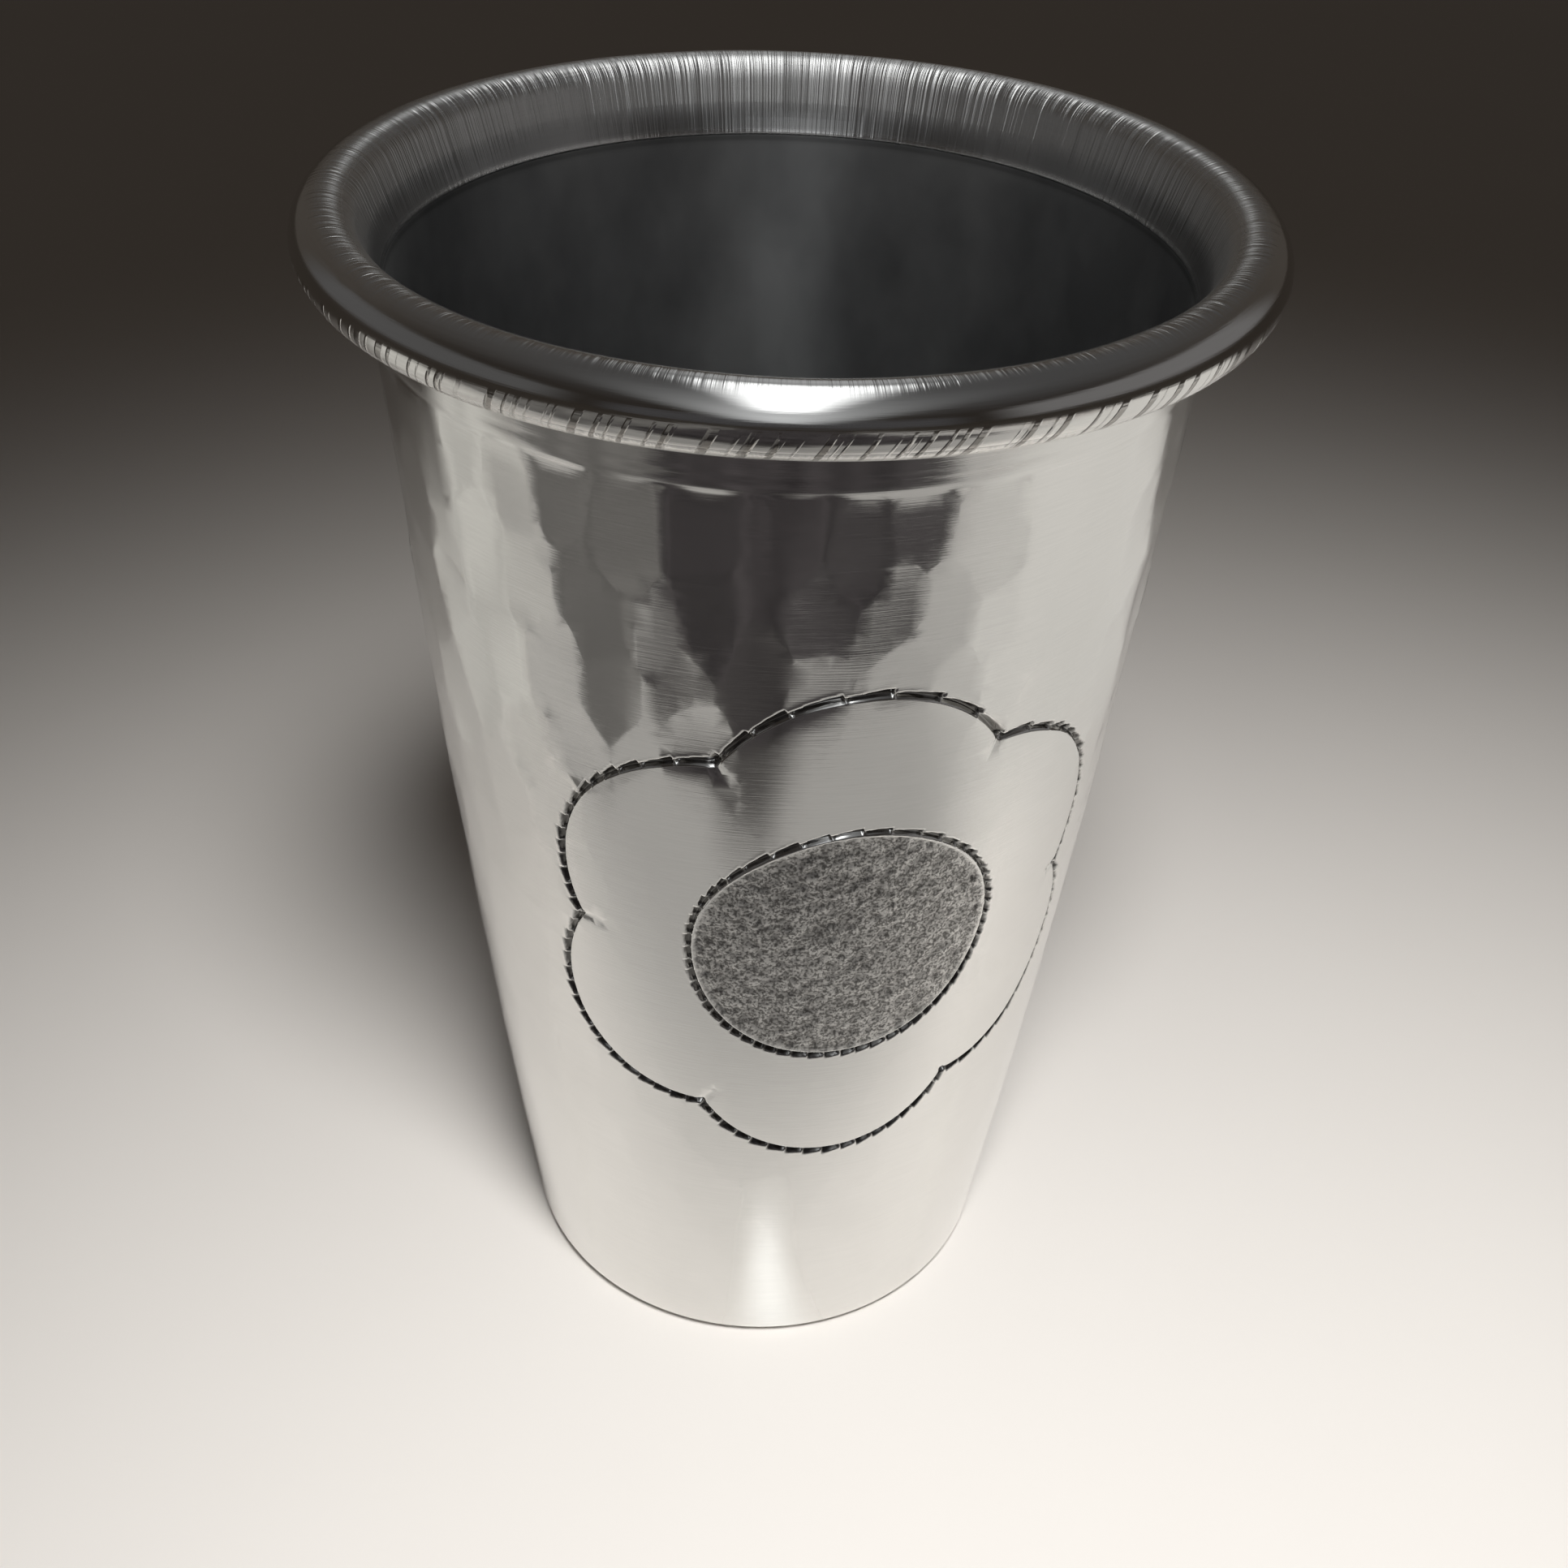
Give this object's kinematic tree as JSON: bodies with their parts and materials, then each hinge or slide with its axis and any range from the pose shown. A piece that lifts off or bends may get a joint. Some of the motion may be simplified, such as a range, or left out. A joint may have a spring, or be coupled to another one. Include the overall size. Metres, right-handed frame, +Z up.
{
  "type": "shot cup",
  "caption": "Small tapered drinking cup in hand-hammered sheet aluminium with a rolled rim and a seated bottom disc, for measuring and drinking a shot.",
  "frame": {"origin": "centre of the foot on the surface that the cup stands on", "axes": "+Z up along the cup's axis, through the mouth; -Y faces the viewer, with the chased motif a little to the +X side of it"},
  "size_m": [0.0442, 0.0442, 0.0635],
  "materials": {
    "wall_sheet": "hand hammered and brushed, with a chased motif",
    "core_wire": "drawn wire",
    "disc_sheet": "brushed sheet, dulled by use"
  },
  "bodies": {
    "root": {"cup_wall": "wall_sheet", "rim_wire": "core_wire", "base_disc": "disc_sheet"}
  },
  "joints": []
}
